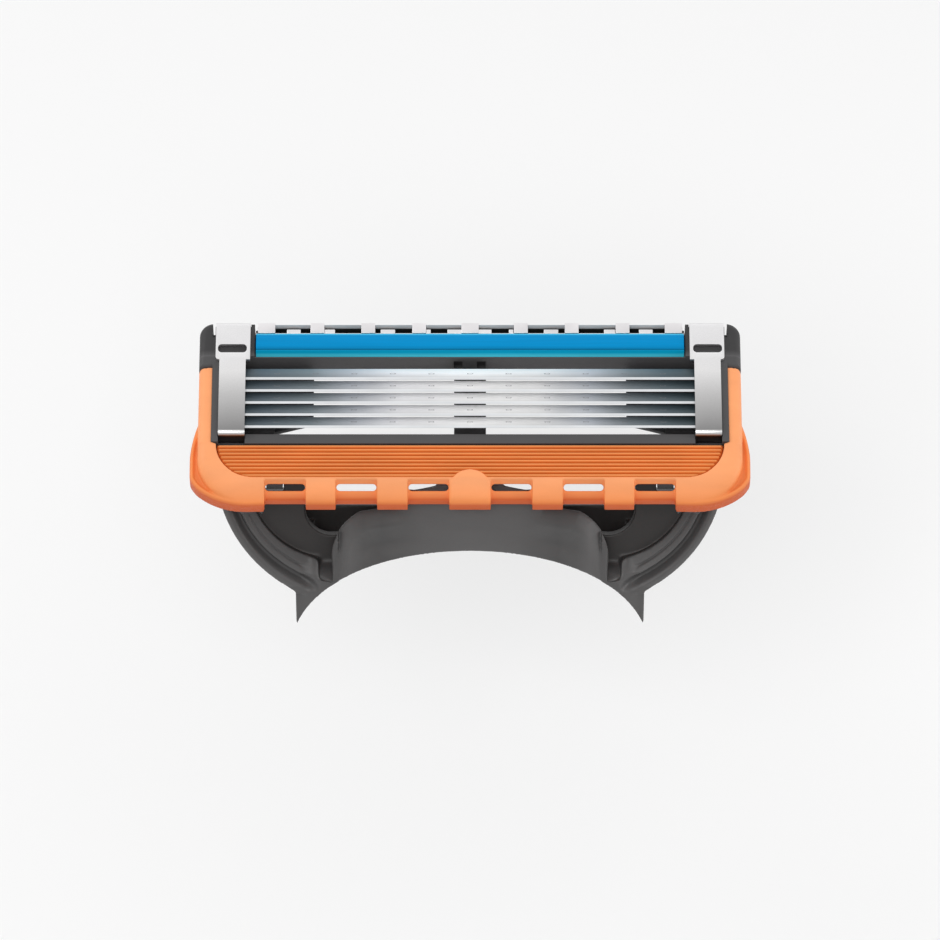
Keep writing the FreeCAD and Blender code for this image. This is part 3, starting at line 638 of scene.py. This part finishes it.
def slot_cutters():
    """Recesses between the fingers and the rinse slots through them."""
    recess = [(-6.52, 0.3), (-6.52, -0.25), (-6.56, -0.6), (-6.66, -0.88), (-7.09, -1.14), (-7.44, -1.34),
              (-7.58, -1.44), (-7.65, -1.6), (-7.65, -2.8), (-9, -2.8), (-9, 0.3)]
    cutters = []
    for place in SLOT_PLACES:
        for x in (-place, place):
            cutters.append(prism("recess", recess, "X", x - SLOT_WIDTH / 2 - 0.05, x + SLOT_WIDTH / 2 + 0.05))
            cutters.append(slot_cutter(x))
    return cutters


def slot_cutter(x):
    """Long hole with round ends, square to the sloping face."""
    half, r = SLOT_WIDTH / 2 - SLOT_HEIGHT / 2, SLOT_HEIGHT / 2
    ring = []
    for side, start in ((1, -90), (-1, 90)):
        for step in range(9):
            a = math.radians(start + 22.5 * step)
            ring.append((x + side * half + r * math.cos(a), r * math.sin(a)))
    # directions up the guard's slope and square to it, and the slot's middle below the slope's top
    along, out = Vector((0, 0.866, 0.5)), Vector((0, -0.5, 0.866))
    middle = Vector((0, -6.42, -0.2)) - along * 0.79
    rings = []
    for depth in (-3.5, 1.0):
        rings.append([middle + Vector((px, 0, 0)) + along * py + out * depth for px, py in ring])
    return loft("slot", rings)


FINS = 9
FIN_TOP, FIN_ROOT = -0.15, -0.42
FIN_RUN_OUT = (0.1, 0.25)    # from the pad's edge to the fins' ends and to their full height


def fin_pad():
    """Nine straight fins inside the rounded edge of the pad."""
    pitch = PAD_RADIUS / FINS
    shape = [(0.0, FIN_ROOT), (0.22, FIN_ROOT + 0.03), (0.38, FIN_TOP - 0.06), (0.5, FIN_TOP), (0.7, FIN_TOP),
             (0.82, FIN_TOP - 0.06), (0.96, FIN_ROOT + 0.03)]
    rows = []
    for fin in range(FINS):
        for share, z in shape:
            rows.append((-(fin + share) * pitch, z))
    rows.append((-PAD_RADIUS * 0.999, FIN_ROOT))
    bm = bmesh.new()
    grid = []
    for dy, z in rows:
        half = PAD_HALF - PAD_RADIUS + math.sqrt(max(PAD_RADIUS ** 2 - dy ** 2, 0.0))
        run = [i * half / 6 for i in range(-5, 6)]
        near, full = half - FIN_RUN_OUT[0], half - FIN_RUN_OUT[1]
        xs = [-half, -near, -full] + run + [full, near, half]
        zs = [PAD_BOTTOM + 0.5, FIN_ROOT, z] + [z] * 11 + [z, FIN_ROOT, PAD_BOTTOM + 0.5]
        grid.append([bm.verts.new((x, PAD_REAR + dy, zz)) for x, zz in zip(xs, zs)])
    for a, b in zip(grid, grid[1:]):
        for i in range(len(a) - 1):
            bm.faces.new((a[i], a[i + 1], b[i + 1], b[i]))
    edge = [e for e in bm.edges if e.is_boundary]
    skirt = bmesh.ops.extrude_edge_only(bm, edges=edge)
    low = [v for v in skirt["geom"] if isinstance(v, bmesh.types.BMVert)]
    for v in low:
        v.co.z = PAD_BOTTOM
    bmesh.ops.holes_fill(bm, edges=[e for e in bm.edges if e.is_boundary], sides=0)
    return new_object("fins", bm)


def soft_guard():
    """Whole soft guard."""
    body = cut(guard_rim(), slot_cutters())
    body = joined("guard_body", [body, guard_flange(1), guard_flange(-1), guard_tab()])
    melted(body, GUARD_VOXEL, GUARD_ROUNDS)
    body.name = "soft_guard"
    finished(body, "blade_unit", "guard", ["guard_elastomer"])
    fins = finished(fin_pad(), "blade_unit", "guard", [])
    fins.name = "guard_fins"
    fins.data.materials[0] = guard_rubber("guard_fin_rubber", FIN_PAINTED_SHADE).material


soft_guard()


# ---- hard pieces with their moulded and bent edges -------------------------------------------
SHARP_ANGLE = math.radians(35)


def refined(name, node, slot, width):
    """Copy of a CAD node of the blade unit with rounded edges."""
    obj = from_cad(name, node)
    bm = bmesh.new()
    bm.from_mesh(obj.data)
    bmesh.ops.dissolve_limit(bm, angle_limit=math.radians(2), verts=bm.verts, edges=bm.edges)
    bm.to_mesh(obj.data)
    bm.free()
    modified(obj, "BEVEL", width=width, segments=3, limit_method="ANGLE", angle_limit=SHARP_ANGLE)
    finished(obj, "blade_unit", slot, [node])
    obj.data.set_sharp_from_angle(angle=SHARP_ANGLE)
    return obj


refined("frame_body", "housing", "housing", 0.06)
refined("gel_strip", "strip_main", "strip", 0.07)
refined("gel_band", "strip_front_band", "strip_band", 0.05)
refined("clip_left_sheet", "clip_left", "clip", 0.05)
refined("clip_right_sheet", "clip_right", "clip", 0.05)
refined("trimmer_comb", "trimmer_carrier", "trimmer_comb", 0.05)


# ---- ribs of the comb --------------------------------------------------------------------------
TOOTH_PITCH, TOOTH_HALF = 3.84, 0.53
RIB_FRONT, RIB_REAR, RIB_BOTTOM, RIB_TOP = 6.15, 6.52, -1.5, -0.32
# light ribs of the comb between two teeth, as (from, to) after the tooth on their left
COMB_RIBS = [[(1.0, 2.05)], [(0.0, 0.8)], [(0.4, 1.5)], [(0.0, 0.35), (1.6, 2.75)], [(0.0, 1.1), (2.4, 2.75)],
             [(1.2, 2.3)], [(1.9, 2.75)], [(0.7, 1.75)]]


def comb_ribs():
    """Low ribs in the gaps of the trimmer's comb."""
    ribs = []
    for gap, spans in enumerate(COMB_RIBS):
        left = (gap - 4) * TOOTH_PITCH + TOOTH_HALF
        for start, end in spans:
            ribs.append(block("rib", left + start, left + end, RIB_FRONT, RIB_REAR, RIB_BOTTOM, RIB_TOP))
    rib = modified(joined("comb_ribs", ribs), "BEVEL", width=0.04, segments=2)
    finished(rib, "blade_unit", "trimmer_comb", [], smooth=False)


comb_ribs()


# ---- weld spots on the blades ------------------------------------------------------------------
SPOT_PITCH, SPOTS_EACH_SIDE = 2.9, 6
SPOT_HALF = (0.3, 0.085)
SPOT_DEPTH = 0.68            # from the blade's edge
# rings of a spot as (share of its size, rise above the blade's middle)
SPOT_RINGS = ((1.0, -0.03), (0.95, 0.025), (0.7, 0.045), (0.4, 0.03))
BLADE_ANGLE = math.radians(21.5)
WELD_MARK = plain_metal("weld_mark", (0.22, 0.22, 0.23), 0.6).material


def weld_spot(x, y, z):
    """Low oval dome on the face of a blade."""
    along = Vector((0, math.cos(BLADE_ANGLE), -math.sin(BLADE_ANGLE)))
    out = Vector((0, math.sin(BLADE_ANGLE), math.cos(BLADE_ANGLE)))
    middle = Vector((x, y, z)) + along * SPOT_DEPTH
    rings = []
    for size, rise in SPOT_RINGS:
        ring = []
        for step in range(16):
            a = 2 * math.pi * step / 16
            ring.append(middle + Vector((SPOT_HALF[0] * size * math.cos(a), 0, 0))
                        + along * (SPOT_HALF[1] * size * math.sin(a)) + out * rise)
        rings.append(ring)
    return loft("spot", rings)


for index in range(1, 6):
    low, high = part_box("blade_%d" % index)
    edge = (Vector((0, low[1], high[2])) - ORIGIN) / MM
    spots = []
    for step in range(-SPOTS_EACH_SIDE, SPOTS_EACH_SIDE + 1):
        spots.append(weld_spot(step * SPOT_PITCH, edge.y, edge.z))
    marks = joined("weld_spots_%d" % index, spots)
    finished(marks, "blade_unit_blade_%d" % index, "support_steel", [])
    marks.data.materials[0] = WELD_MARK


# ---- connecting member ------------------------------------------------------------------------
COWL_TOP, COWL_CURVE = 3.3, 30.0
MOUTH_TOP, MOUTH_RISE, MOUTH_HALF = -5.37, 9.93, 13.72
ARM_ARC = ((18.66, -3.0), (16.5, -6.98), (13.2, -9.64))
RIM_TOP = 0.7
YOKE_VOXEL, YOKE_ROUNDS = 0.085, 2
# smoothing where the arms run into the cowl
JUNCTION_ROUNDS = 60
JUNCTION_INNER, JUNCTION_OUTER = 9.4, 12.9
JUNCTION_LOW, JUNCTION_TOP = -10.2, -5.8
# height of the rim's front face by distance from its outer edge: lip, groove and two strips
RIM_PROFILE = [(-0.5, 0.4), (0.0, 0.52), (0.2, 0.62), (0.4, 0.7), (0.6, 0.6), (0.9, 0.1), (1.15, 0.08),
               (1.3, 0.72), (1.68, 0.5), (1.73, 0.28), (1.8, 0.46), (2.28, 0.16), (2.5, 0.1)]
COWL_EDGE = [(0.0, -0.1), (2.5, -0.12), (4.4, -0.65), (5.6, -2.1), (8.25, -2.75), (9.35, -3.5), (9.9, -4.5),
             (10.25, -5.6), (10.45, -6.8), (10.3, -9.5)]


def between(table, value):
    """Value read from a table of steps, straight between them."""
    for (a, fa), (b, fb) in zip(table, table[1:]):
        if value <= b:
            return fa + (fb - fa) * max(value - a, 0.0) / (b - a)
    return table[-1][1]


def eased(value):
    """Smooth step from 0 to 1."""
    value = min(max(value, 0.0), 1.0)
    return value * value * (3 - 2 * value)


def arc_circle(a, b, c):
    """Centre and radius of the circle through three points."""
    (ax, ay), (bx, by), (cx, cy) = a, b, c
    d = 2 * (ax * (by - cy) + bx * (cy - ay) + cx * (ay - by))
    a2, b2, c2 = ax * ax + ay * ay, bx * bx + by * by, cx * cx + cy * cy
    centre = Vector(((a2 * (by - cy) + b2 * (cy - ay) + c2 * (ay - by)) / d,
                     (a2 * (cx - bx) + b2 * (ax - cx) + c2 * (bx - ax)) / d))
    return centre, (centre - Vector(a)).length


ARC_CENTRE, ARC_RADIUS = arc_circle(*ARM_ARC)


def edge_distance(x, u):
    """Distance inside the cowl's outline."""
    best = 99.0
    p = Vector((x, u))
    for a, b in zip(COWL_EDGE, COWL_EDGE[1:]):
        a, b = Vector(a), Vector(b)
        run = b - a
        share = min(max((p - a).dot(run) / run.length_squared, 0.0), 1.0)
        best = min(best, (p - a - run * share).length)
    return best


def mouth_edge(x):
    """Height of the arched mouth's edge."""
    return MOUTH_TOP - MOUTH_RISE + MOUTH_RISE * math.sqrt(1 - (x / MOUTH_HALF) ** 2)


def relief(x, u, t):
    """Moved height of a point of the member, for the moulded ridges of its arms and cowl."""
    # arms outside the cowl's side, cowl inside it
    x = abs(x)
    surface = COWL_TOP - COWL_CURVE + math.sqrt(COWL_CURVE ** 2 - x * x)
    if x > 9.9 and u < -2.4:
        d = ARC_RADIUS - (Vector((x, u)) - ARC_CENTRE).length if u < -3.0 else 18.5 - 0.053 * u - x
        d /= 1 + 0.16 * eased((17.0 - x) / 4.5)
        if d < 2.6:
            fade = eased((x - 11.3) / 0.7) * eased((-2.4 - u) / 0.8) * eased((u + 9.7) / 0.5)
            lift = min(max((t + 0.3) / (RIM_TOP + 0.3), 0.0), 1.0)
            t += fade * lift * (between(RIM_PROFILE, d) - RIM_TOP)
        ramp = eased((-7.4 - u) / 1.4) * eased((t + 1.0) / 0.5)
        ramp *= eased((13.0 - x) / 0.9) * eased((d - 0.9) / 0.9)
        return t + ramp * max(surface - t, 0.0)
    lift = eased((t - surface + 1.0) / 1.0)
    if x < 10.5 and u < 0 and lift > 0:
        e = edge_distance(x, u)
        shape = -0.5 * (1 - min(e / 1.5, 1)) ** 2 + 0.08 * math.exp(-((e - 1.2) / 0.4) ** 2)
        shape -= 0.35 * math.exp(-((e - 2.9) / 1.1) ** 2)
        fade = eased((x - 3.2) / 3.0) * eased((u - mouth_edge(x)) / 1.6)
        return t + lift * fade * shape
    return t


def connecting_yoke():
    """Organic yoke: the CAD member's skin, softened and given its moulded relief."""
    yoke = melted(from_cad("connecting_yoke", "connecting_member"), YOKE_VOXEL, YOKE_ROUNDS)
    place = Matrix.Translation(PIVOT) @ Matrix.Rotation(MEMBER_TILT, 4, "X")
    back = place.inverted()
    for vert in yoke.data.vertices:
        p = back @ vert.co
        p.z = relief(p.x, p.y, p.z)
        vert.co = place @ p
    modified(yoke, "SMOOTH", factor=0.5, iterations=1)
    junction = yoke.vertex_groups.new(name="junction")
    for vert in yoke.data.vertices:
        p = back @ vert.co
        side = abs(p.x)
        if JUNCTION_INNER < side < JUNCTION_OUTER and JUNCTION_LOW < p.y < JUNCTION_TOP:
            weight = eased((side - JUNCTION_INNER) / 0.8) * eased((JUNCTION_OUTER - side) / 0.8)
            weight *= eased((JUNCTION_TOP - p.y) / 1.2) * eased((p.y - mouth_edge(side) - 0.5) / 0.6)
            junction.add([vert.index], weight, "REPLACE")
    modified(yoke, "SMOOTH", factor=0.5, iterations=JUNCTION_ROUNDS, vertex_group=junction.name)
    yoke.vertex_groups.clear()
    finished(yoke, "connecting_member", "member", ["connecting_member"])


connecting_yoke()


# ---- camera, light and floor ---------------------------------------------------------------
VIEW_ELEVATION = math.radians(60)
VIEW_DISTANCE = 500.0
FRAME_WIDTH = 70.5           # width of the view at the object
VIEW_CENTRE = -5.14          # middle of the view, up the picture from the drawn origin
SENSOR_WIDTH = 36.0
FLOOR_DROP = 32.0            # floor under the object's lowest point


def camera():
    """Camera at the view that the object is shown from."""
    data = bpy.data.cameras.new("camera")
    data.sensor_width = SENSOR_WIDTH
    data.lens = SENSOR_WIDTH * VIEW_DISTANCE / FRAME_WIDTH
    data.clip_start, data.clip_end = 0.01, 10
    obj = bpy.data.objects.new("camera", data)
    bpy.context.collection.objects.link(obj)
    back = Vector((0, -math.cos(VIEW_ELEVATION), math.sin(VIEW_ELEVATION)))
    up = Vector((0, math.sin(VIEW_ELEVATION), math.cos(VIEW_ELEVATION)))
    obj.location = ORIGIN + (up * VIEW_CENTRE + back * VIEW_DISTANCE) * MM
    obj.rotation_euler = (math.radians(90) - VIEW_ELEVATION, 0, 0)
    bpy.context.scene.camera = obj


def area_light(name, place, target, size, watts):
    """Soft box at a drawn place."""
    data = bpy.data.lights.new(name, "AREA")
    data.shape = "RECTANGLE"
    data.size, data.size_y = size[0] * MM, size[1] * MM
    data.energy = watts
    obj = bpy.data.objects.new(name, data)
    bpy.context.collection.objects.link(obj)
    obj.location = spot(*place)
    obj.rotation_euler = (spot(*target) - obj.location).to_track_quat("-Z", "Y").to_euler()
    return obj


def studio():
    """Pale floor, soft key light and an even surround."""
    scene = bpy.context.scene
    scene.view_settings.view_transform = "Standard"
    world = bpy.data.worlds.new("studio")
    scene.world = world
    world.use_nodes = True
    tree = world.node_tree
    direction = tree.nodes.new("ShaderNodeSeparateXYZ")
    tree.links.new(tree.nodes.new("ShaderNodeTexCoord").outputs["Generated"], direction.inputs["Vector"])
    glow = tree.nodes.new("ShaderNodeMapRange")
    tree.links.new(direction.outputs["Y"], glow.inputs["Value"])
    glow.inputs["From Min"].default_value = -1.0
    glow.inputs["To Min"].default_value = 0.45
    glow.inputs["To Max"].default_value = 1.07
    tree.links.new(glow.outputs["Result"], tree.nodes["Background"].inputs["Strength"])
    tree.nodes["Background"].inputs["Color"].default_value = (1, 1, 1, 1)
    area_light("key", (-60, -200, 360), (0, 0, 0), (260, 200), 0.44)
    area_light("left", (-220, 90, 150), (0, 0, -4), (120, 120), 0.115)
    area_light("right", (240, -20, 70), (0, 0, -4), (100, 80), 0.12)
    bpy.ops.mesh.primitive_plane_add(size=4, location=(0, 0, 0))
    floor = bpy.context.object
    floor.name = "floor"
    floor.location = (0, 0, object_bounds()[0][2] - FLOOR_DROP * MM)
    floor.data.materials.append(paper().material)
    floor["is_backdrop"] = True


camera()
studio()
